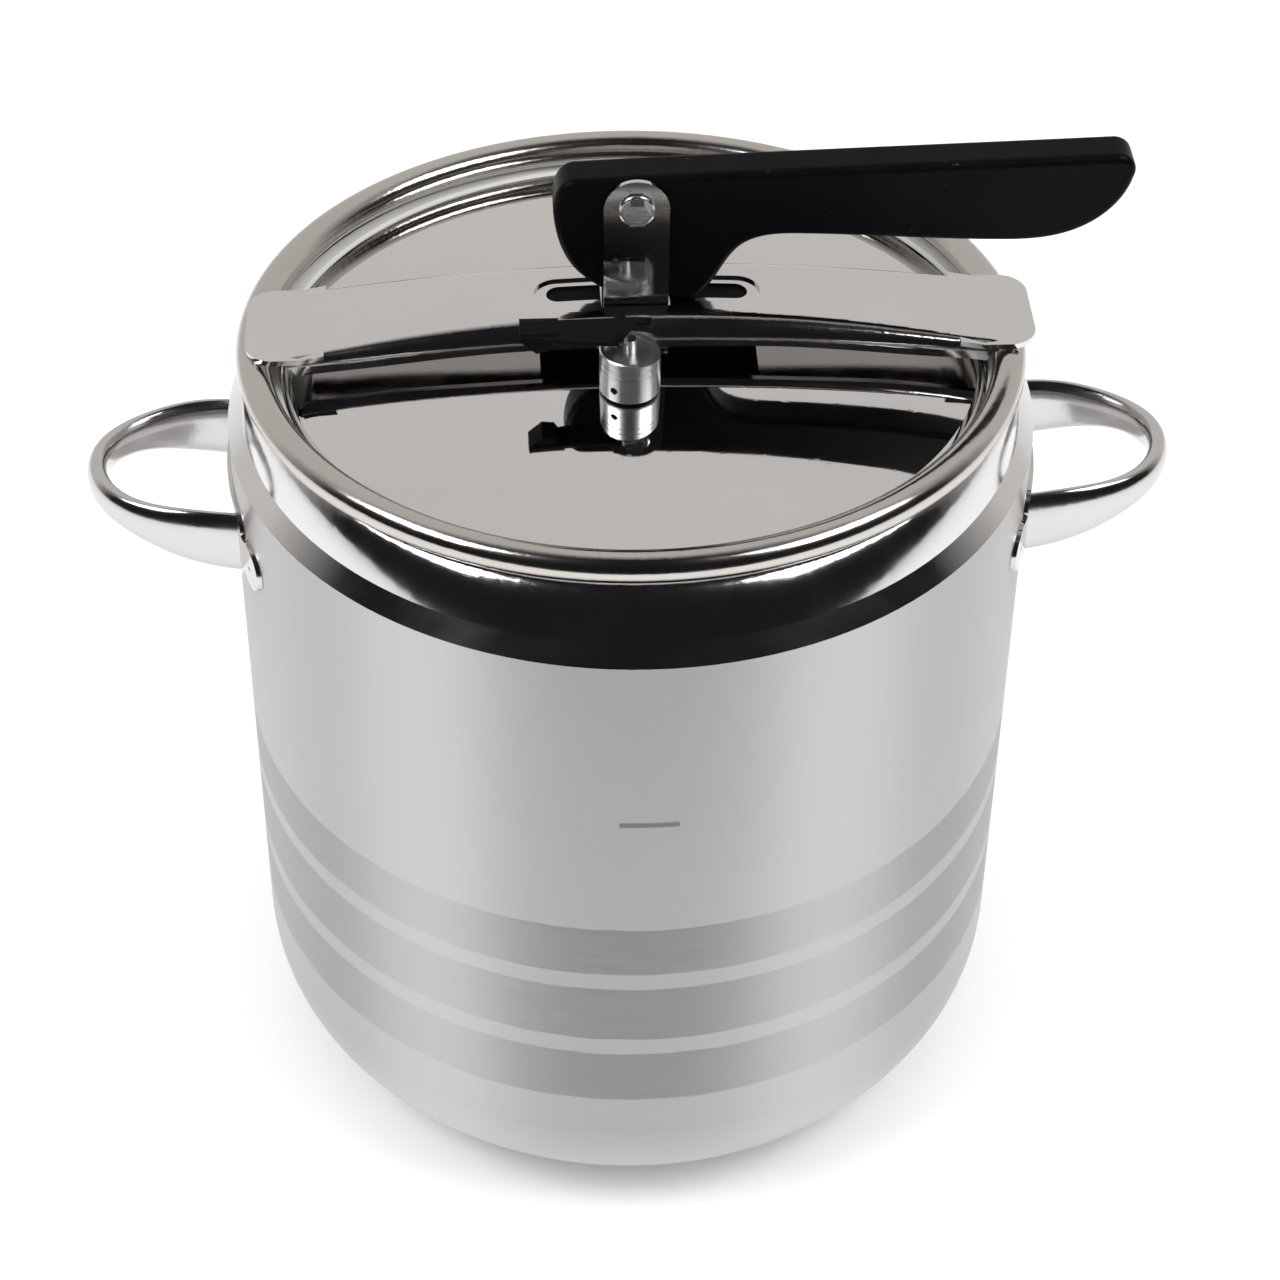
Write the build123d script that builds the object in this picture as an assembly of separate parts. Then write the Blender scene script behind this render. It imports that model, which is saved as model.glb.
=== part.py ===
from build123d import *
import math
import os

# Stock-pot pressure canner with an oval lid that closes from inside, drawn up by a cam lever.
# Origin: centre of the base underside. +Z up, +X along the bridge bar to the lever's grip.

# ---------------------------------------------------------------- driving dimensions, mm
POT_R = 130.0          # outside radius of the body
WALL = 1.2             # sheet of the body and the lid
CORNER_R = 46.0        # outside radius where wall meets bottom
BODY_FLOOR_Z = 3.0     # underside of the pressed body, on top of the base disc
SHOULDER_Z = 260.0     # the straight wall ends here
BEVEL_R = 125.2        # radius at the top of the bevel that starts the shoulder
BEVEL_RISE = 6.0       # height of the bevel
SHOULDER_RISE = 14.5   # height of the rounded part above the bevel
SHOULDER_TOP = (122.2, 113.6)    # half length (X) and half width (Y) at its top
SHOULDER_CONE = 0.5    # share of its run that is straight rather than round
MOUTH_Y = 112.5        # half width to the middle of the rolled rim
OVAL = 1.07            # the mouth and the lid are this much longer in X than in Y
RIM_R = 5.0            # radius of the rolled rim
RIM_Z = 285.0          # middle of the rolled rim

DISC_R = 88.0          # radius of the capsule base
CAP_T = 0.8            # steel cap of the base

SET_X, SET_Y = 1.0, 2.0          # the lid lies this far off the pot's axis
LID_TOP_Z = 288.0      # crown of the lid
LID_EDGE_R = 105.0     # half width of the dome
LID_EDGE_Z = 279.5     # height of the dome's edge
FLANGE_R = 112.6       # half width of the lid's flange
FLANGE_Z = 274.4       # top of the flange

BAR_X = 2.9            # middle of the bar
BAR_LENGTH = 250.0
BAR_WIDTH = 38.0
BAR_T = 1.8
BAR_TOP_Z = 303.0      # top of the arch
BAR_END_Z = RIM_Z + RIM_R + BAR_T
BAR_HALF_ARCH = 108.0  # from the middle of the bar to the start of its flat ends
FLANGE_END = 113.0     # from the middle of the bar to the end of its flanges
SLOT_X = (-27.0, 36.6) # ends of the slot
SLOT_WIDTH = 8.0
RECESS = 0.9           # depth of the pressed ring round the slot
GUIDE_HALF = 36.0      # half length of the liner under the slot

PIVOT_Z = 338.3        # lever pivot above the base
LEVER_T = 13.6         # thickness of the lever
LEVER_EDGE = 2.4       # rounding of its edges
STRIP_T = 1.5          # bracket strip
EAR_WIDTH = 20.4
REAR_EAR_TOP = 6.4     # the rear ear is cut off this far above the pivot
EAR_GAP = 0.3          # lever to ear, each side
PIN_R = 2.5            # bolt shank
BUSH_R = 4.2

VALVE_OUT = (3.0, 31.0)     # release valve left of the lid's middle, and in front of it
VALVE_R = 9.5
VALVE_H = 15.4
HINGE_OUT = 2.8        # pin of its lever, from the valve's axis towards the tip
HINGE_UP = 6.0         # and above its top
SAFETY_OUT = (16.0, 54.0)   # safety valve from the lid's middle
SEAT_T = 1.4           # sealing washers under the lid

HANDLE_Z = 229.5       # side handle where it meets the body
HANDLE_HALF = 30.0     # half spread of its two feet
HANDLE_REACH = 174.0   # middle of the grip from the pot's axis
HANDLE_TILT = 8.5      # degrees up towards the grip
PLATE_T = 1.4

EAR_OUT = LEVER_T / 2 + EAR_GAP + STRIP_T
LID_CENTRE = (SET_X, SET_Y, 0)
VALVE_X, VALVE_Y, VALVE_Z = SET_X - VALVE_OUT[0], SET_Y - VALVE_OUT[1], LID_TOP_Z - 0.6
HINGE_X, HINGE_Z = VALVE_X - HINGE_OUT, VALVE_Z + VALVE_H + HINGE_UP
SAFE_X, SAFE_Y, SAFE_Z = SET_X + SAFETY_OUT[0], SET_Y + SAFETY_OUT[1], LID_TOP_Z - 3.05


def save(name, shape):
    """Write one node."""
    shape.label = name
    export_step(shape, f"parts/{name}.step")
    box = shape.bounding_box()
    print(name, len(shape.solids()), "solid(s)", round(shape.volume), "mm3", box.size)


def spun(outline):
    """Body of revolution about Z, from a closed outline in (radius, height)."""
    return revolve(Plane.XZ * make_face(outline), Axis.Z, 360)


def rod(x, y, z0, z1, radius):
    """Upright cylinder between two heights."""
    return Pos(x, y, (z0 + z1) / 2) * Cylinder(radius, z1 - z0)


def cross_rod(x, z, y0, y1, radius):
    """Cylinder along Y between two places."""
    return Pos(x, (y0 + y1) / 2, z) * Rot(90, 0, 0) * Cylinder(radius, abs(y1 - y0))


def hexagon(across, height):
    """Hexagonal prism about Z, standing on the XY plane."""
    return extrude(RegularPolygon(across / math.sqrt(3), 6), height)


# ---------------------------------------------------------------- pot
def vessel(inset, top):
    """Solid of the straight wall and rounded bottom, inset from the outside, up to a height."""
    radius, corner, floor = POT_R - inset, CORNER_R - inset, BODY_FLOOR_Z + inset
    bend = RadiusArc((radius - corner, floor), (radius, floor + corner), -corner)
    sides = Polyline((radius, floor + corner), (radius, top), (0, top), (0, floor),
                     (radius - corner, floor))
    return spun([bend, sides])


def shoulder(inset):
    """Solid under the shoulder: a bevel, then a rounded part that runs from round to oval."""
    low = SHOULDER_Z + BEVEL_RISE
    bevel = Pos(0, 0, SHOULDER_Z + BEVEL_RISE / 2) * Cone(
        POT_R - inset, BEVEL_R - inset, BEVEL_RISE)
    sections = []
    for rise in (0, 0.25, 0.5, 0.7, 0.85, 0.94, 0.985):
        run = SHOULDER_CONE * rise + (1 - SHOULDER_CONE) * (1 - math.sqrt(1 - rise**2))
        half = [BEVEL_R - inset - (BEVEL_R - top) * run for top in SHOULDER_TOP]
        sections.append(Pos(0, 0, low + (SHOULDER_RISE - inset) * rise) * Ellipse(*half))
    return bevel + loft(sections)


def pot_shoulder():
    """Shoulder from the round wall to the oval mouth."""
    opening = MOUTH_Y - 1.2
    mouth = Pos(0, 0, SHOULDER_Z) * extrude(Ellipse(opening * OVAL, opening), 40)
    return shoulder(0) - shoulder(WALL) - mouth - pot_rim()


def pot_rim():
    """Tube of the rolled rim, open by a narrow seam underneath."""
    seam = Rot(0, 0, -110) * Pos(RIM_R, 0) * Rectangle(RIM_R, 0.8)
    tube = Pos(MOUTH_Y, RIM_Z) * (Circle(RIM_R) - Circle(RIM_R - WALL) - seam)
    ring = revolve(Plane.XZ * tube, Axis.Z, 360)
    return scale(ring, by=(OVAL, 1, 1))


def pot_wall():
    """Straight part of the drawn body."""
    low = BODY_FLOOR_Z + CORNER_R
    return rod(0, 0, low, SHOULDER_Z, POT_R) - rod(0, 0, low - 1, SHOULDER_Z + 1, POT_R - WALL)


def pot_bottom():
    """Flat floor and rounded corner of the drawn body."""
    top = BODY_FLOOR_Z + CORNER_R
    shell = vessel(0, top + 10) - vessel(WALL, top + 11)
    return shell - rod(0, 0, top, top + 12, POT_R + 1)


def base_core(top=BODY_FLOOR_Z):
    """Aluminium disc inside the base cap."""
    return rod(0, 0, CAP_T, top, DISC_R - CAP_T)


def base_cap():
    """Steel cup over the core, meeting the curve of the body."""
    top = BODY_FLOOR_Z + 2
    cup = rod(0, 0, 0, top, DISC_R)
    return fillet(cup.edges().sort_by(Axis.Z)[0], 0.7) - base_core(top) - vessel(0, SHOULDER_Z)


# ---------------------------------------------------------------- side handles
def handle_loop():
    """Cast grip of the right-hand handle, wide and tall at its feet, slim at the grip."""
    root_x, power, steps = 124.0, 0.8, 12
    reach = HANDLE_REACH - root_x
    sections = []
    for i in range(steps + 1):
        turn = math.pi * (i / steps - 0.5)
        cosine, sine = math.cos(turn), math.sin(turn)
        out = max(cosine, 0.0) ** power
        slope_x = -power * sine * max(cosine, 0.02) ** (power - 1) * reach
        slope_y = HANDLE_HALF * cosine
        heading = math.degrees(math.atan2(slope_y, slope_x))
        rise = reach * out * math.tan(math.radians(HANDLE_TILT))
        place = Pos(root_x + reach * out, HANDLE_HALF * sine, HANDLE_Z + rise)
        half_height = 6.0 + 5.4 * abs(sine) ** 5
        section = Ellipse(half_height, 3.5)
        sections.append(place * Rot(0, 0, heading) * Rot(0, 90, 0) * section)
    return loft(sections) - rod(0, 0, 150, 280, POT_R + PLATE_T)


def handle_plate():
    """Curved plate under the right-hand handle, with a lobe and a weld dimple at each end."""
    lobe_y, lobe_r, half_tall = 44.0, 8.0, 13.0
    middle = RectangleRounded(2 * HANDLE_HALF + 14, 2 * half_tall, 7)
    neck = Rectangle(2 * lobe_y, 2 * lobe_r - 3)
    lobes = Pos(lobe_y, 0) * Circle(lobe_r) + Pos(-lobe_y, 0) * Circle(lobe_r)
    outline = Plane.YZ * Pos(0, HANDLE_Z + 2) * (middle + neck + lobes)
    band = rod(0, 0, 180, 280, POT_R + PLATE_T) - rod(0, 0, 180, 280, POT_R)
    plate = band & extrude(outline, 150)
    for side in (-1, 1):
        turn = math.degrees(math.asin(side * lobe_y / POT_R))
        spot = Rot(0, 0, turn) * Pos(POT_R + PLATE_T + 1.9, 0, HANDLE_Z + 2) * Sphere(2.5)
        plate = plate - spot
    return plate


# ---------------------------------------------------------------- lid
def dome_radius(top_z, edge_r, edge_z):
    return (edge_r**2 + (top_z - edge_z) ** 2) / (2 * (top_z - edge_z))


def dome(top_z, edge_r, edge_z):
    """Crown arc of the lid from its middle to the start of the edge roll."""
    return RadiusArc((0, top_z), (edge_r, edge_z), dome_radius(top_z, edge_r, edge_z))


def sheet_under(x, y):
    """Height of the lid's underside over a place on the pot."""
    away = ((x - SET_X) / OVAL) ** 2 + (y - SET_Y) ** 2
    return LID_TOP_Z - WALL - away / (2 * dome_radius(LID_TOP_Z, LID_EDGE_R - 2, LID_EDGE_Z))


def lid_pan():
    """Domed pan with a step and an outer flange for the seal."""
    top = dome(LID_TOP_Z, LID_EDGE_R - 2, LID_EDGE_Z)
    under = dome(LID_TOP_Z - WALL, LID_EDGE_R - 2.6, LID_EDGE_Z - WALL)
    inner_wall = LID_EDGE_R - WALL
    outside = Polyline((LID_EDGE_R - 2, LID_EDGE_Z), (LID_EDGE_R - 0.6, LID_EDGE_Z - 0.7),
                       (LID_EDGE_R, LID_EDGE_Z - 2), (LID_EDGE_R, FLANGE_Z),
                       (FLANGE_R, FLANGE_Z), (FLANGE_R, FLANGE_Z - WALL),
                       (inner_wall, FLANGE_Z - WALL), (inner_wall, LID_EDGE_Z - 2.6),
                       (LID_EDGE_R - 2.6, LID_EDGE_Z - WALL))
    axis_line = Line((0, LID_TOP_Z - WALL), (0, LID_TOP_Z))
    pan = scale(spun([top, outside, under, axis_line]), by=(OVAL, 1, 1))
    return Pos(*LID_CENTRE) * pan - lid_holes()


def lid_holes():
    """Holes for the vent pipe, the safety valve and the bracket's stud."""
    vent = rod(VALVE_X, VALVE_Y, 260, 300, 4.0)
    safety = rod(SAFE_X, SAFE_Y, 260, 300, 4.0)
    return vent + safety + rod(SET_X, SET_Y, 260, 300, 4.0)


def lid_gasket():
    """Seal that lies on the lid's flange."""
    low, high, cut = FLANGE_Z, 278.3, 2.0
    inner, outer = LID_EDGE_R + 1, FLANGE_R + 0.3
    ring = Polyline((inner, low), (outer, low), (outer, high - cut), (outer - cut, high),
                    (inner + 1, high), (inner, high - 1), close=True)
    return Pos(*LID_CENTRE) * scale(spun(ring), by=(OVAL, 1, 1))


# ---------------------------------------------------------------- bridge bar
def arch_drop(x):
    """How far the arch has fallen at a distance from the middle of the bar."""
    share = min(abs(x) / BAR_HALF_ARCH, 1)
    return (BAR_TOP_Z - BAR_END_Z) * share**2


def channel_section(x, inset):
    """Cross-section of the arch: flat top, rounded shoulders, straight flanges."""
    share = min(abs(x) / FLANGE_END, 1)
    bend = 8.0 - 5.4 * share**2 - inset
    depth = 9.0 - 2.0 * share
    half = BAR_WIDTH / 2 - inset
    top = BAR_TOP_Z - arch_drop(x) - inset
    low = top - depth - (inset * 2 if inset else 0)
    flat = half - bend
    outline = [Line((-half, low), (-half, top - bend)),
               RadiusArc((-half, top - bend), (-flat, top), bend),
               Line((-flat, top), (flat, top)),
               RadiusArc((flat, top), (half, top - bend), bend),
               Line((half, top - bend), (half, low)), Line((half, low), (-half, low))]
    across = Plane(origin=(BAR_X + x, SET_Y, 0), x_dir=(0, 1, 0), z_dir=(1, 0, 0))
    return across * make_face(outline)


def arch(inset, reach):
    """Solid of the arch, lofted through cross-sections."""
    steps = 8
    stations = [reach * (2 * i / steps - 1) for i in range(steps + 1)]
    return loft([channel_section(x, inset) for x in stations])


def end_tab(side):
    """Flat end of the bar that lies on the rim, with rounded corners."""
    start, end = 100.0, BAR_LENGTH / 2
    corner = 9.0
    plate = Rectangle(end - start, BAR_WIDTH)
    plate = fillet(plate.vertices().sort_by(Axis.X)[-2:], corner)
    slab = Pos((start + end) / 2, 0, 0) * extrude(plate, 60, both=True)
    z0, z1 = BAR_TOP_Z - arch_drop(start), BAR_END_Z
    reach = [(start, z0), (BAR_HALF_ARCH, z1), (end, z1)]
    band = reach + [(x, z - BAR_T) for x, z in reversed(reach)]
    profile = Plane.XZ * make_face(Polyline(*band, close=True))
    sheet = extrude(profile, BAR_WIDTH / 2, both=True)
    tab = (Pos(0, 0, z1) * slab) & sheet
    return Pos(BAR_X, SET_Y, 0) * (tab if side > 0 else tab.rotate(Axis.Z, 180))


def flange_end(side):
    """Space of the rolled rim, cut out of the flanges' ends with a slanted corner."""
    under = BAR_END_Z - BAR_T
    points = [(FLANGE_END, under), (FLANGE_END - 2.6, under - 1.8), (FLANGE_END - 4, under - 4),
              (FLANGE_END - 4, under - 30), (FLANGE_END + 30, under - 30), (FLANGE_END + 30, under)]
    space = extrude(Plane.XZ * make_face(Polyline(*points, close=True)), 60, both=True)
    return Pos(BAR_X, 0, 0) * (space if side > 0 else space.rotate(Axis.Z, 180))


def stadium(x0, x1, width):
    """Long hole shape from one end to the other."""
    return Pos((x0 + x1) / 2, SET_Y) * SlotOverall(x1 - x0, width)


def bridge_bar():
    """Sprung bar across the rim, arched, with flanges, a slot and a window for the bracket."""
    bar = arch(0, FLANGE_END) - arch(BAR_T, FLANGE_END + 4)
    for side in (-1, 1):
        bar = bar - flange_end(side) + end_tab(side)
    recess = extrude(stadium(SLOT_X[0] - 4, SLOT_X[1] + 4, SLOT_WIDTH + 6), 400)
    recess = recess - arch(RECESS, FLANGE_END)
    slot = extrude(stadium(*SLOT_X, SLOT_WIDTH), 400)
    above = Pos(SET_X, SET_Y, BAR_TOP_Z + 20) * Box(200, 60, 56)
    return bar - (recess & above) - bracket_window() - (slot & above)


def bracket_window():
    """Space through the bar for the bracket's ears and the cam head."""
    return Pos(SET_X, SET_Y, BAR_TOP_Z) * Box(EAR_WIDTH + 1.4, 2 * EAR_OUT + 1.2, 20)


def slot_guide():
    """Liner under the top of the bar that closes the slot round the bracket."""
    liner = arch(BAR_T + 0.1, GUIDE_HALF + 20) - arch(BAR_T + 1.3, GUIDE_HALF + 20)
    place = Pos(SET_X + (SLOT_X[0] + SLOT_X[1]) / 2, SET_Y, BAR_TOP_Z)
    return (liner & place * Box(2 * GUIDE_HALF, 24, 30)) - bracket_window()


# ---------------------------------------------------------------- bracket and lever
def lid_bracket():
    """Bent strip on the lid whose two ears carry the lever."""
    outer = Pos(SET_X, SET_Y, (LID_TOP_Z + PIVOT_Z) / 2) * Box(
        EAR_WIDTH, 2 * EAR_OUT, PIVOT_Z - LID_TOP_Z)
    outer = fillet(outer.edges().filter_by(Axis.X).sort_by(Axis.Z)[:2], 3.2)
    inner = Pos(SET_X, SET_Y, (LID_TOP_Z + PIVOT_Z) / 2 + STRIP_T) * Box(
        EAR_WIDTH, 2 * (EAR_OUT - STRIP_T), PIVOT_Z - LID_TOP_Z)
    inner = fillet(inner.edges().filter_by(Axis.X).sort_by(Axis.Z)[:2], 1.2)
    strip = outer - inner
    for side in (-1, 1):
        inside, outside = side * (EAR_OUT - STRIP_T), side * EAR_OUT
        strip = strip + cross_rod(SET_X, PIVOT_Z, SET_Y + inside, SET_Y + outside, EAR_WIDTH / 2)
    strip = strip - Pos(SET_X, SET_Y + EAR_OUT, PIVOT_Z + REAR_EAR_TOP + 10) * Box(40, 6, 20)
    bolt_hole = cross_rod(SET_X, PIVOT_Z, SET_Y - 20, SET_Y + 20, PIN_R)
    return strip - bolt_hole - rod(SET_X, SET_Y, 280, LID_TOP_Z + 3, 4.0)


def bracket_stud():
    """Riveted stud that holds the bracket to the lid."""
    foot = rod(SET_X, SET_Y, LID_TOP_Z - WALL - 2, LID_TOP_Z - WALL - 0.1, 8.0)
    shank = rod(SET_X, SET_Y, LID_TOP_Z - WALL - 1, LID_TOP_Z + STRIP_T + 0.5, 4.0)
    head = rod(SET_X, SET_Y, LID_TOP_Z + STRIP_T, LID_TOP_Z + STRIP_T + 2.2, 5.6)
    head = fillet(head.edges().sort_by(Axis.Z)[-1], 1.4)
    return foot + shank + head


def cam_lever():
    """Moulded lever: cam head between the ears, and a long grip. Points are from the pivot."""
    sole_z = BAR_TOP_Z + 0.3 - PIVOT_Z
    head = Spline((-17.5, 9.4), (-22.8, 7.4), (-25.4, 1.6), (-25.4, -5.6), (-23.4, -15.1),
                  (-18.7, -24.0), (-14.4, -28.2), (-8.2, -32.4), (-3.0, -34.5), (1.5, sole_z))
    sole = Line((1.5, sole_z), (19.0, sole_z))
    throat = Spline((19.0, sole_z), (23.8, -29.6), (28.6, -21.0), (33.7, -15.2), (40.5, -12.6),
                    (51.0, -12.2), (82.0, -14.2), (113.5, -16.0), (129.1, -15.2),
                    (141.2, -10.6), (149.7, -2.4), (153.4, 6.2))
    nose = ThreePointArc((153.4, 6.2), (152.8, 11.8), (147.8, 14.4))
    back = Spline((147.8, 14.4), (113.0, 13.4), (72.7, 12.3), (37.8, 11.3), (1.6, 10.2),
                  (-17.5, 9.4))
    face = make_face([head, sole, throat, nose, back])
    side_plane = Plane(origin=(SET_X, SET_Y + LEVER_T / 2, PIVOT_Z), x_dir=(1, 0, 0),
                       z_dir=(0, -1, 0))
    blank = side_plane * extrude(face, LEVER_T)
    sides = blank.faces().filter_by(Axis.Y)
    rounded = fillet(sides[0].edges() + sides[1].edges(), LEVER_EDGE)
    return rounded - cross_rod(SET_X, PIVOT_Z, -30, 30, BUSH_R)


def lever_bush():
    tube = cross_rod(SET_X, PIVOT_Z, SET_Y - LEVER_T / 2, SET_Y + LEVER_T / 2, BUSH_R)
    return tube - cross_rod(SET_X, PIVOT_Z, -30, 30, PIN_R + 0.05)


def pivot_bolt():
    """Flanged hexagon bolt through both ears."""
    front = SET_Y - EAR_OUT
    shank = cross_rod(SET_X, PIVOT_Z, front, SET_Y + EAR_OUT + 4.3, PIN_R)
    flange = cross_rod(SET_X, PIVOT_Z, front - 1.2, front, 5.6)
    flange = fillet(flange.edges().sort_by(Axis.Y)[0], 0.8)
    head = Pos(SET_X, front - 1.0, PIVOT_Z) * Rot(90, 0, 0) * hexagon(7.4, 2.6)
    return shank + flange + head


def pivot_washer():
    back = SET_Y + EAR_OUT
    return cross_rod(SET_X, PIVOT_Z, back, back + 0.9, 5.6) - cross_rod(
        SET_X, PIVOT_Z, -30, 30, PIN_R)


def pivot_nut():
    start = SET_Y + EAR_OUT + 0.9
    nut = Pos(SET_X, start + 2.6, PIVOT_Z) * Rot(90, 0, 0) * hexagon(8.0, 2.6)
    return nut - cross_rod(SET_X, PIVOT_Z, -30, 30, PIN_R)


# ---------------------------------------------------------------- release valve
def vent_pipe():
    """Threaded pipe through the lid with a seat on top."""
    lower = rod(VALVE_X, VALVE_Y, 276.5, VALVE_Z + 3.5, 4.0)
    collar = rod(VALVE_X, VALVE_Y, VALVE_Z + 0.6, VALVE_Z + 3.5, 7.3)
    return lower + collar - rod(VALVE_X, VALVE_Y, 270, 300, 1.5)


def seat_on_lid(shape):
    """Shape trimmed to the lid's curved sheet."""
    return shape - lid_pan()


def seat_washer(x, y):
    """Sealing washer pressed against the underside of the lid."""
    top = sheet_under(x, y) + 0.3
    return seat_on_lid(rod(x, y, top - SEAT_T, top, 8.0) - rod(x, y, 260, 300, 4.0))


def seat_nut(x, y):
    """Hexagon nut below the sealing washer."""
    top = sheet_under(x, y) + 0.3 - SEAT_T
    return Pos(x, y, top - 3.6) * hexagon(13.0, 3.6) - rod(x, y, 260, 300, 4.0)


def valve_body():
    """Turned cap over the vent pipe: side outlets, fine grooves and an open, slanted top."""
    x, y, low, high = VALVE_X, VALVE_Y, VALVE_Z + 0.3, VALVE_Z + VALVE_H
    body = rod(x, y, low, high, VALVE_R)
    body = chamfer(body.edges().filter_by(GeomType.CIRCLE), 0.4)
    body = body - rod(x, y, low - 1, low + 4.4, 7.4) - rod(x, y, low, high - 3.1, 5.6)
    body = body - rod(x, y, high - 1.6, high + 1, 8.0)
    groove_z = low + 9.2
    for offset in (0, 2.4):
        groove = rod(x, y, groove_z + offset, groove_z + offset + 0.35, VALVE_R + 1)
        body = body - (groove - rod(x, y, groove_z - 1, groove_z + 4, VALVE_R - 0.3))
    outlet = Pos(x, y, low + 4.4) * Rot(0, 0, -124) * Rot(0, 90, 0) * Cylinder(1.25, 30)
    body = body - outlet
    slant = Pos(x + 1, y, high + 3.4) * Rot(0, 9, 0) * Box(40, 40, 8)
    return body - slant - rod(x, y, low, high + 5, 2.1)


def valve_needle():
    """Stem that closes the vent pipe, with a collar for its spring and an arm for the pin."""
    x, y = VALVE_X, VALVE_Y
    stem = rod(x, y, VALVE_Z + 4.6, HINGE_Z - 2.4, 2.0)
    tip = Pos(x, y, VALVE_Z + 4.1) * Cone(1.2, 2.0, 1.0)
    collar = rod(x, y, VALVE_Z + 4.6, VALVE_Z + 5.4, 4.4)
    arm_end = HINGE_X - 2.0
    arm = Pos((arm_end + x) / 2, y, HINGE_Z - 3.3) * Box(x - arm_end, 3.6, 1.8)
    eye = cross_rod(HINGE_X, HINGE_Z, y - 1.8, y + 1.8, 1.9)
    post = Pos(HINGE_X, y, HINGE_Z - 1.6) * Box(3.8, 3.6, 3.2)
    return stem + tip + collar + arm + post + eye - cross_rod(HINGE_X, HINGE_Z, -60, 0, 1.0)


def valve_spring():
    """Coil between the collar and the roof of the cap."""
    x, y = VALVE_X, VALVE_Y
    wire, low, high = 0.3, VALVE_Z + 5.9, VALVE_Z + 11.8
    path = Helix(pitch=1.3, height=high - low, radius=3.2)
    start = path @ 0
    section = Plane(origin=start, z_dir=path % 0) * Circle(wire)
    return Pos(x, y, low) * sweep(section, path=path, is_frenet=True)


def roof_section(x, half, wall, top, low):
    """Cross-section of the valve lever: a ridge with two sloping sides, open below."""
    inner = half - wall
    points = [(-half, low), (-half, low + 1.4), (0, top), (half, low + 1.4), (half, low),
              (inner, low), (inner, low + 1.0), (0, top - 1.6), (-inner, low + 1.0), (-inner, low)]
    plane = Plane(origin=(x, VALVE_Y, 0), x_dir=(0, 1, 0), z_dir=(1, 0, 0))
    return plane * make_face(Polyline(*points, close=True))


def valve_lever():
    """Roof-shaped lever that tips up to lift the needle."""
    low = HINGE_Z - 1.6
    top = low + 7.2
    tip_x, end_x = VALVE_X - 34.0, VALVE_X + 6.6
    roof = loft([roof_section(tip_x, 4.2, 1.5, top - 0.8, low + 2.0),
                 roof_section(VALVE_X - 13.0, 5.4, 1.6, top - 0.3, low + 0.6),
                 roof_section(end_x, 6.4, 1.7, top, low + 0.6)], ruled=True)
    boss = cross_rod(HINGE_X, HINGE_Z + 0.5, VALVE_Y - 6.2, VALVE_Y + 6.2, 2.1)
    boss = boss - Pos(HINGE_X, VALVE_Y, HINGE_Z) * Box(8, 8.0, 8)
    plane = Plane(origin=(0, VALVE_Y + 4.0, 0), x_dir=(1, 0, 0), z_dir=(0, -1, 0))
    beak_points = [(tip_x, low + 4.6), (tip_x, low + 1.6), (tip_x + 5.0, low - 3.0),
                   (tip_x + 9.0, low - 2.2), (tip_x + 12.0, low + 4.6)]
    beak = plane * extrude(make_face(Polyline(*beak_points, close=True)), 8.0)
    mitre = Pos(end_x + 1.0, VALVE_Y - 9.0, HINGE_Z) * Rot(0, 0, -50) * Box(20, 12, 30)
    hole = cross_rod(HINGE_X, HINGE_Z, -60, 0, 1.05)
    return roof + boss + beak - mitre - hole


def valve_pin():
    return cross_rod(HINGE_X, HINGE_Z, VALVE_Y - 6.6, VALVE_Y + 6.6, 1.0)


# ---------------------------------------------------------------- safety valve
def safety_body():
    """Threaded housing of the pressure-limiting valve."""
    housing = rod(SAFE_X, SAFE_Y, 276.0, SAFE_Z + 3.0, 4.0)
    housing = housing + seat_on_lid(Pos(SAFE_X, SAFE_Y, SAFE_Z) * hexagon(12.0, 5.0))
    housing = housing + rod(SAFE_X, SAFE_Y, SAFE_Z + 5.0, SAFE_Z + 8.0, 4.8)
    return housing - rod(SAFE_X, SAFE_Y, 270, 310, 2.2)


def safety_plunger():
    """Sprung plunger that rises when the pressure is too high."""
    stem = rod(SAFE_X, SAFE_Y, 279.0, SAFE_Z + 9.4, 2.1)
    knob = rod(SAFE_X, SAFE_Y, SAFE_Z + 8.4, SAFE_Z + 10.4, 3.6)
    return stem + fillet(knob.edges().sort_by(Axis.Z)[-1], 0.8)


# ---------------------------------------------------------------- build
def main():
    os.makedirs("parts", exist_ok=True)
    save("pot_wall", pot_wall())
    save("pot_bottom", pot_bottom())
    save("pot_shoulder", pot_shoulder())
    save("pot_rim", pot_rim())
    save("base_core", base_core())
    save("base_cap", base_cap())
    right_loop, right_plate = handle_loop(), handle_plate()
    save("side_handle_right", right_loop)
    save("handle_plate_right", right_plate)
    save("side_handle_left", right_loop.rotate(Axis.Z, 180))
    save("handle_plate_left", right_plate.rotate(Axis.Z, 180))
    save("bridge_bar", bridge_bar())
    save("slot_guide", slot_guide())
    save("lid_pan", lid_pan())
    save("lid_gasket", lid_gasket())
    save("lid_bracket", lid_bracket())
    save("bracket_stud", bracket_stud())
    save("cam_lever", cam_lever())
    save("lever_bush", lever_bush())
    save("pivot_bolt", pivot_bolt())
    save("pivot_washer", pivot_washer())
    save("pivot_nut", pivot_nut())
    save("vent_pipe", vent_pipe())
    save("vent_washer", seat_washer(VALVE_X, VALVE_Y))
    save("vent_nut", seat_nut(VALVE_X, VALVE_Y))
    save("valve_body", valve_body())
    save("valve_needle", valve_needle())
    save("valve_spring", valve_spring())
    save("valve_lever", valve_lever())
    save("valve_pin", valve_pin())
    save("safety_body", safety_body())
    save("safety_plunger", safety_plunger())
    save("safety_washer", seat_washer(SAFE_X, SAFE_Y))
    save("safety_nut", seat_nut(SAFE_X, SAFE_Y))


main()
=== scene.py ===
import math

import bpy
from mathutils import Matrix, Vector

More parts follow.
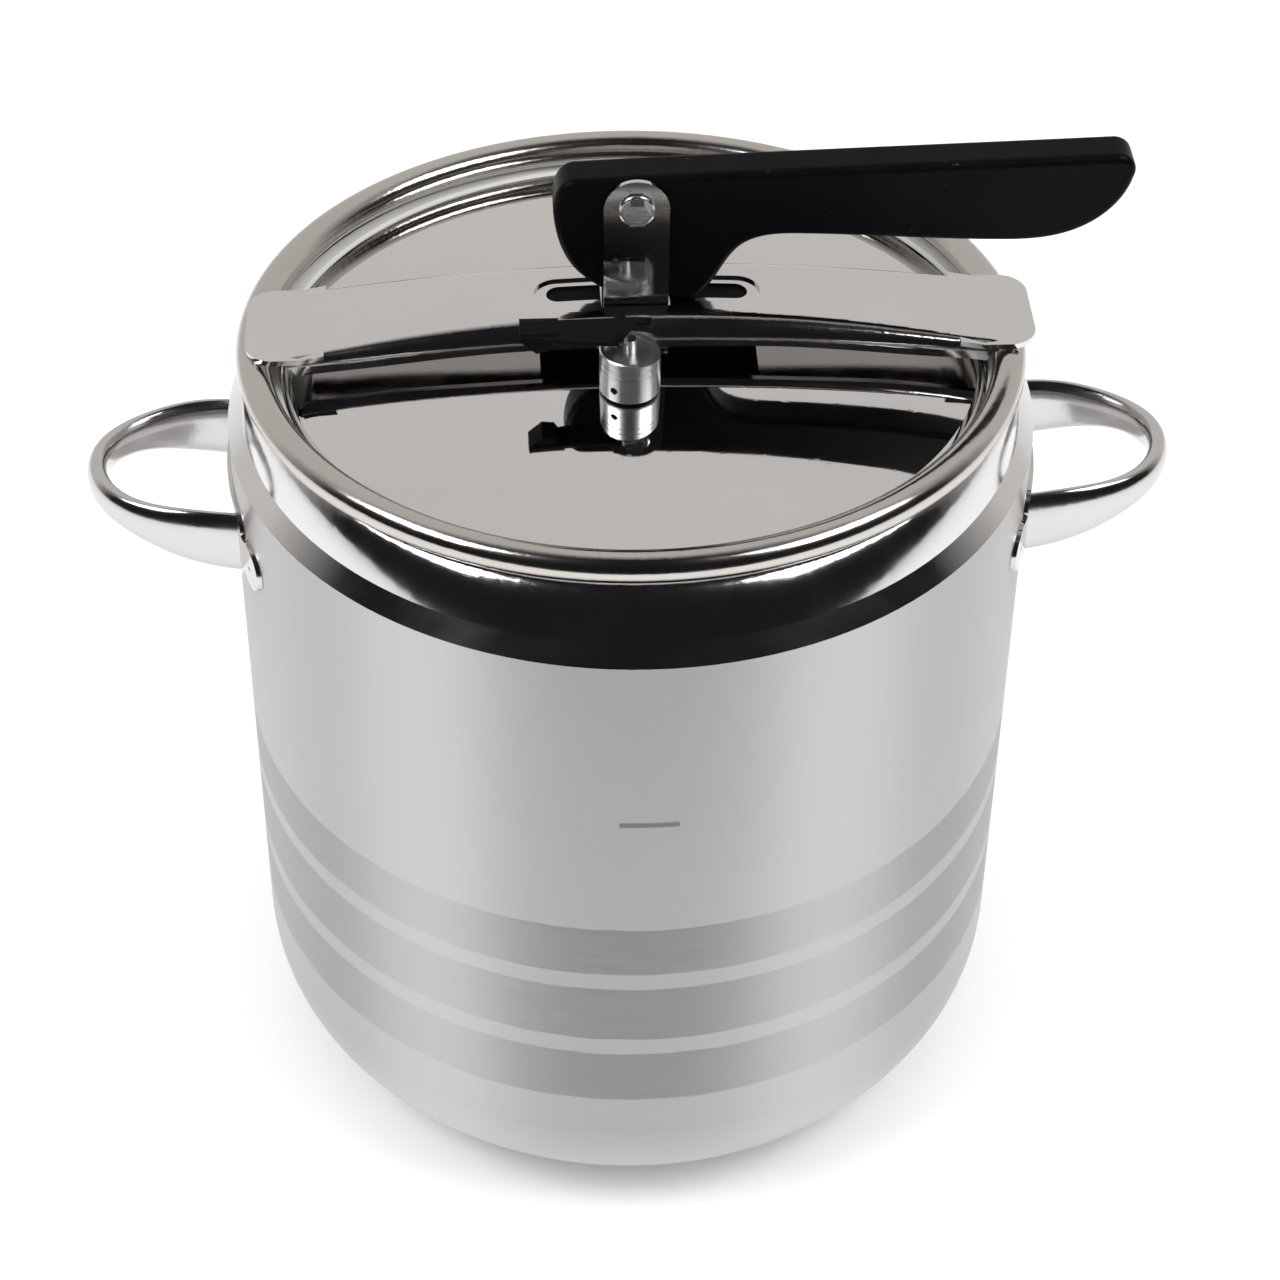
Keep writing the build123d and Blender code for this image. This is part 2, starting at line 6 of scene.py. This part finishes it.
# A steel pressure canner: looks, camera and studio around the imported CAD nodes. Metres.
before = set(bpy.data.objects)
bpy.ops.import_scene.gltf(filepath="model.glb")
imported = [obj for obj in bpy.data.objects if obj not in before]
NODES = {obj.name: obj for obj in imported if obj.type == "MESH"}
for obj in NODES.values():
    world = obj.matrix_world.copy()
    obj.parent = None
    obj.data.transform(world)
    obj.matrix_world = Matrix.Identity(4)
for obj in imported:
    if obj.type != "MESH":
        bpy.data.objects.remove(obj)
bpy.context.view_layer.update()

# ---------------------------------------------------------------- finish lines, metres
BANDS = ((0.0668, 0.0896), (0.0969, 0.1208), (0.1278, 0.1485))   # brushed bands
DASH_X, DASH_Z = (-0.0095, 0.0092), (0.1945, 0.1965)            # plain level mark


# ---------------------------------------------------------------- node helpers
class Shader:
    """One material and short calls that add its nodes."""

    def __init__(self, name, colour, metallic, roughness):
        self.mat = bpy.data.materials.new(name)
        self.mat.use_nodes = True
        self.nt = self.mat.node_tree
        self.bsdf = self.nt.nodes["Principled BSDF"]
        self.bsdf.inputs["Base Color"].default_value = (*colour, 1)
        self.bsdf.inputs["Metallic"].default_value = metallic
        self.bsdf.inputs["Roughness"].default_value = roughness
        self.mat.diffuse_color = (*colour, 1)
        self.place = self.nt.nodes.new("ShaderNodeTexCoord").outputs["Object"]

    def node(self, kind, **values):
        made = self.nt.nodes.new(kind)
        for key, value in values.items():
            setattr(made, key, value)
        return made

    def link(self, source, target):
        self.nt.links.new(source, target)

    def put(self, socket, value):
        """A socket gets a link or a plain value."""
        if hasattr(value, "is_output"):
            self.link(value, socket)
        else:
            socket.default_value = value

    def noise(self, scale, detail=2.0, stretch=(1, 1, 1), rough=0.5):
        """Noise from 0 to 1 over the object's own space, stretched by axis."""
        moved = self.node("ShaderNodeMapping")
        moved.inputs["Scale"].default_value = stretch
        self.link(self.place, moved.inputs["Vector"])
        made = self.node("ShaderNodeTexNoise")
        self.link(moved.outputs["Vector"], made.inputs["Vector"])
        made.inputs["Scale"].default_value = scale
        made.inputs["Detail"].default_value = detail
        made.inputs["Roughness"].default_value = rough
        return made.outputs["Fac"]

    def span(self, value, low, high, to_low=0.0, to_high=1.0):
        """Maps a range of values onto another, clamped."""
        made = self.node("ShaderNodeMapRange")
        self.put(made.inputs["Value"], value)
        for key, number in (("From Min", low), ("From Max", high), ("To Min", to_low),
                            ("To Max", to_high)):
            made.inputs[key].default_value = number
        return made.outputs["Result"]

    def math(self, operation, a, b=0.0):
        """One arithmetic step on sockets or numbers."""
        made = self.node("ShaderNodeMath", operation=operation)
        self.put(made.inputs[0], a)
        self.put(made.inputs[1], b)
        return made.outputs[0]

    def mix(self, share, a, b):
        """Blend of two numbers."""
        made = self.node("ShaderNodeMix", data_type="FLOAT")
        self.put(made.inputs[0], share)
        self.put(made.inputs[2], a)
        self.put(made.inputs[3], b)
        return made.outputs[0]

    def tint(self, share, a, b):
        """Blend of two colours."""
        made = self.node("ShaderNodeMix", data_type="RGBA")
        self.put(made.inputs[0], share)
        for socket, value in ((made.inputs[6], a), (made.inputs[7], b)):
            self.put(socket, value if hasattr(value, "is_output") else (*value, 1))
        return made.outputs[2]

    def axis(self, index):
        """One coordinate of the object's own space."""
        made = self.node("ShaderNodeSeparateXYZ")
        self.link(self.place, made.inputs[0])
        return made.outputs[index]

    def between(self, value, low, high, soft):
        """One between two values, with soft edges, and nought outside."""
        up = self.span(value, low - soft, low + soft)
        down = self.span(value, high - soft, high + soft, 1.0, 0.0)
        return self.math("MULTIPLY", up, down)

    def bump(self, height, depth, strength=1.0):
        made = self.node("ShaderNodeBump")
        self.link(height, made.inputs["Height"])
        made.inputs["Distance"].default_value = depth
        made.inputs["Strength"].default_value = strength
        self.link(made.outputs["Normal"], self.bsdf.inputs["Normal"])

    def set(self, socket, value):
        self.put(self.bsdf.inputs[socket], value)


# ---------------------------------------------------------------- materials
def body_steel():
    """Satin wall with three brushed bands and a plain level mark."""
    s = Shader("pot_steel", (0.60, 0.59, 0.585), 1.0, 0.3)
    height = s.axis(2)
    waver = s.span(s.noise(90, 1), 0.3, 0.7, -0.0002, 0.0002)
    z = s.math("ADD", height, waver)
    band = s.between(z, *BANDS[0], 0.0002)
    for low, high in BANDS[1:]:
        band = s.math("ADD", band, s.between(z, low, high, 0.0002))
    across = s.between(s.axis(0), *DASH_X, 0.0002)
    dash = s.math("MULTIPLY", across, s.between(height, *DASH_Z, 0.0002))
    dash = s.math("MULTIPLY", dash, s.span(s.axis(1), -0.05, -0.06))
    streaks = s.noise(60, 3, (0.5, 0.5, 60))
    cloud = s.noise(14, 3)
    fine = s.noise(900, 2, (0.4, 0.4, 3.0))
    satin = s.tint(cloud, (0.595, 0.582, 0.577), (0.625, 0.612, 0.607))
    brushed = s.tint(streaks, (0.56, 0.55, 0.547), (0.63, 0.62, 0.617))
    colour = s.tint(band, satin, brushed)
    s.set("Base Color", s.tint(dash, colour, (0.40, 0.385, 0.38)))
    rough = s.mix(band, s.span(fine, 0.3, 0.7, 0.42, 0.44), s.span(streaks, 0.3, 0.7, 0.50, 0.60))
    s.set("Roughness", s.mix(dash, rough, 0.5))
    s.bump(s.mix(band, s.span(fine, 0, 1, 0, 0.04), s.span(streaks, 0, 1, 0, 0.6)), 0.00003)
    s.bsdf.inputs["Anisotropic"].default_value = 0.95
    s.bsdf.inputs["Anisotropic Rotation"].default_value = 0.25
    tangent = s.node("ShaderNodeTangent", direction_type="RADIAL", axis="Z")
    s.link(tangent.outputs[0], s.bsdf.inputs["Tangent"])
    return s.mat


def mirror_steel(name, low=(0.62, 0.61, 0.605), high=(0.69, 0.68, 0.675), rough=(0.03, 0.07),
                 grain=(1, 1, 8)):
    """Polished sheet with faint smears and fine scratches."""
    s = Shader(name, high, 1.0, rough[1])
    cloud = s.noise(16, 4)
    s.set("Base Color", s.tint(cloud, low, high))
    smear = s.noise(42, 4, (1, 2.4, 1))
    s.set("Roughness", s.span(smear, 0.3, 0.75, *rough))
    scratch = s.span(s.noise(260, 2, grain), 0.60, 0.72, 0, 0.15)
    s.bump(scratch, 0.00002)
    return s.mat


def turned_metal(name, low, high, rough):
    """Turned or drawn metal with rings across its own Z axis."""
    s = Shader(name, high, 1.0, rough[1])
    ring = s.noise(120, 3, (0.6, 0.6, 30))
    s.set("Base Color", s.tint(ring, low, high))
    s.set("Roughness", s.span(ring, 0.3, 0.7, *rough))
    s.bump(ring, 0.00002)
    return s.mat


def phenolic(name, colour, worn, rough):
    """Moulded black handle: soft sheen, faint mottling and rubbed specks."""
    s = Shader(name, colour, 0.0, rough[1])
    s.bsdf.inputs["Specular IOR Level"].default_value = 0.06
    cloud = s.noise(24, 4)
    specks = s.span(s.noise(420, 3, (1, 1, 2.2), 0.65), 0.66, 0.78)
    patch = s.span(s.noise(30, 2), 0.45, 0.65)
    rubbed = s.math("MULTIPLY", specks, patch)
    s.set("Base Color", s.tint(rubbed, s.tint(cloud, colour, [c * 1.6 for c in colour]), worn))
    s.set("Roughness", s.span(s.noise(60, 4), 0.3, 0.7, *rough))
    s.bump(s.noise(700, 3), 0.00004, 0.5)
    return s.mat


def rubber(name, colour):
    """Dull silicone with a faint grain."""
    s = Shader(name, colour, 0.0, 0.6)
    cloud = s.noise(60, 3)
    s.set("Base Color", s.tint(cloud, [c * 0.88 for c in colour], colour))
    s.set("Roughness", s.span(cloud, 0.3, 0.7, 0.5, 0.68))
    s.bump(s.noise(900, 2), 0.00003)
    return s.mat


def dress(mat, *names):
    """Gives a CAD node its finish."""
    for name in names:
        mesh = NODES[name].data
        mesh.materials.clear()
        mesh.materials.append(mat)


dress(body_steel(), "pot_wall", "pot_bottom")
dress(mirror_steel("shoulder_steel", rough=(0.10, 0.16)), "pot_shoulder")
# Rim: a darker, browner copy of the polished steel, painted shade standing in for the dark
# brownish reflections on the rolled bead.
dress(mirror_steel("rim_steel_painted_shade", (0.50, 0.475, 0.45), (0.57, 0.545, 0.52), (0.14, 0.2)),
      "pot_rim")
dress(mirror_steel("base_steel", rough=(0.14, 0.26)), "base_cap")
dress(turned_metal("core_aluminium", (0.70, 0.70, 0.71), (0.78, 0.78, 0.79), (0.3, 0.45)),
      "base_core")
# Handles and plates: a darker copy of the polished steel, painted shade standing in for their
# darker reflections.
dress(mirror_steel("handle_steel_painted_shade", (0.54, 0.53, 0.525), (0.62, 0.61, 0.605), (0.12, 0.2)),
      "side_handle_left",
      "side_handle_right", "handle_plate_left", "handle_plate_right")
dress(mirror_steel("bar_steel", rough=(0.07, 0.15), grain=(1, 8, 1)), "bridge_bar")
dress(mirror_steel("lid_steel", rough=(0.02, 0.05)), "lid_pan")
dress(mirror_steel("bracket_steel", rough=(0.06, 0.12)), "lid_bracket")
dress(turned_metal("fastener_steel", (0.56, 0.555, 0.55), (0.68, 0.67, 0.665), (0.16, 0.3)),
      "pivot_bolt", "pivot_washer", "pivot_nut", "bracket_stud", "valve_spring", "valve_pin")
# Valve parts: a lighter copy of the turned steel, painted light standing in for the bright
# soft-box reflections on them.
dress(turned_metal("valve_steel_painted_light", (0.72, 0.72, 0.72), (0.82, 0.82, 0.82), (0.28, 0.4)),
      "valve_body", "valve_needle", "safety_plunger")
dress(turned_metal("valve_brass", (0.70, 0.52, 0.24), (0.80, 0.62, 0.31), (0.18, 0.32)),
      "vent_pipe", "vent_nut", "safety_body", "safety_nut", "lever_bush")
dress(phenolic("lever_phenolic", (0.0015, 0.0015, 0.002), (0.06, 0.06, 0.06), (0.32, 0.44)),
      "cam_lever")
dress(phenolic("valve_nylon", (0.004, 0.004, 0.0045), (0.03, 0.03, 0.03), (0.36, 0.5)),
      "valve_lever")
dress(phenolic("guide_nylon", (0.003, 0.003, 0.003), (0.01, 0.01, 0.01), (0.55, 0.7)),
      "slot_guide")
dress(rubber("seal_silicone", (0.70, 0.70, 0.68)), "lid_gasket", "vent_washer", "safety_washer")

for cad_object in NODES.values():
    cad_object.data.shade_smooth()


# ---------------------------------------------------------------- studio
def studio_floor():
    """Pale sweep that the canner stands on."""
    mesh = bpy.data.meshes.new("studio_floor")
    near, far, half, low = -1.0, 4.0, 3.0, -0.0006
    mesh.from_pydata([(-half, near, low), (half, near, low), (half, far, low), (-half, far, low)],
                     [], [(0, 1, 2, 3)])
    floor = bpy.data.objects.new("studio_floor", mesh)
    bpy.context.scene.collection.objects.link(floor)
    s = Shader("floor_paper", (0.95, 0.95, 0.95), 0.0, 0.7)
    s.set("Base Color", s.tint(s.noise(3, 2), (0.94, 0.94, 0.935), (0.96, 0.96, 0.955)))
    mesh.materials.append(s.mat)


def soft_box(name, azimuth, elevation, distance, size, watts):
    """Rectangular light aimed at the canner. Azimuth 0 is the front and 90 the right side."""
    a, e = math.radians(azimuth), math.radians(elevation)
    away = Vector((math.sin(a) * math.cos(e), -math.cos(a) * math.cos(e), math.sin(e)))
    light = bpy.data.lights.new(name, "AREA")
    light.shape = "RECTANGLE"
    light.size, light.size_y = size
    light.energy = watts
    lamp = bpy.data.objects.new(name, light)
    bpy.context.scene.collection.objects.link(lamp)
    lamp.location = Vector((0, 0, 0.28)) + away * distance
    lamp.rotation_euler = away.to_track_quat("Z", "Y").to_euler()
    lamp.visible_camera = False


def room():
    """White to the eye, an even fill for matt surfaces, and a pale wall behind with a dark
    room in front of it for polished ones."""
    world = bpy.data.worlds.new("studio")
    bpy.context.scene.world = world
    world.use_nodes = True
    nt = world.node_tree
    nt.nodes.clear()

    def new(kind, **values):
        made = nt.nodes.new(kind)
        for key, value in values.items():
            setattr(made, key, value)
        return made

    def blend(share, a, b):
        made = new("ShaderNodeMix", data_type="RGBA")
        nt.links.new(share, made.inputs[0])
        for socket, value in ((made.inputs[6], a), (made.inputs[7], b)):
            if hasattr(value, "is_output"):
                nt.links.new(value, socket)
            else:
                socket.default_value = (*value, 1)
        return made.outputs[2]

    parts = new("ShaderNodeSeparateXYZ")
    nt.links.new(new("ShaderNodeTexCoord").outputs["Generated"], parts.inputs[0])
    behind = new("ShaderNodeMapRange")
    nt.links.new(parts.outputs["Y"], behind.inputs["Value"])
    behind.inputs["From Min"].default_value = -0.10
    behind.inputs["From Max"].default_value = 0.35
    room_light = blend(behind.outputs["Result"], (0.012, 0.012, 0.014), (0.74, 0.72, 0.70))
    path = new("ShaderNodeLightPath")
    light = blend(path.outputs["Is Diffuse Ray"], room_light, (1.0, 1.0, 1.0))
    light = blend(path.outputs["Is Camera Ray"], light, (1.0, 1.0, 1.0))
    back = new("ShaderNodeBackground")
    nt.links.new(light, back.inputs["Color"])
    nt.links.new(back.outputs[0], new("ShaderNodeOutputWorld").inputs[0])


def camera():
    """Long lens, above and in front, a little to the left of the canner's front."""
    data = bpy.data.cameras.new("camera")
    data.lens, data.sensor_width = 91.05, 36.0
    cam = bpy.data.objects.new("camera", data)
    bpy.context.scene.collection.objects.link(cam)
    turn = Matrix.Rotation(math.radians(-3.3), 4, "Z")
    pitch = Matrix.Rotation(math.radians(90 - 41.54), 4, "X")
    roll = Matrix.Rotation(math.radians(0.632), 4, "Z")
    cam.matrix_world = Matrix.Translation((-0.0444, -0.8353, 0.8977)) @ turn @ pitch @ roll
    data.clip_start, data.clip_end = 0.05, 50
    bpy.context.scene.camera = cam


studio_floor()
soft_box("box_left", -66, 47, 1.6, (0.85, 0.6), 11)
soft_box("box_right", 62, 48, 1.6, (0.85, 0.6), 11)
room()
camera()
bpy.context.scene.view_settings.view_transform = "Standard"
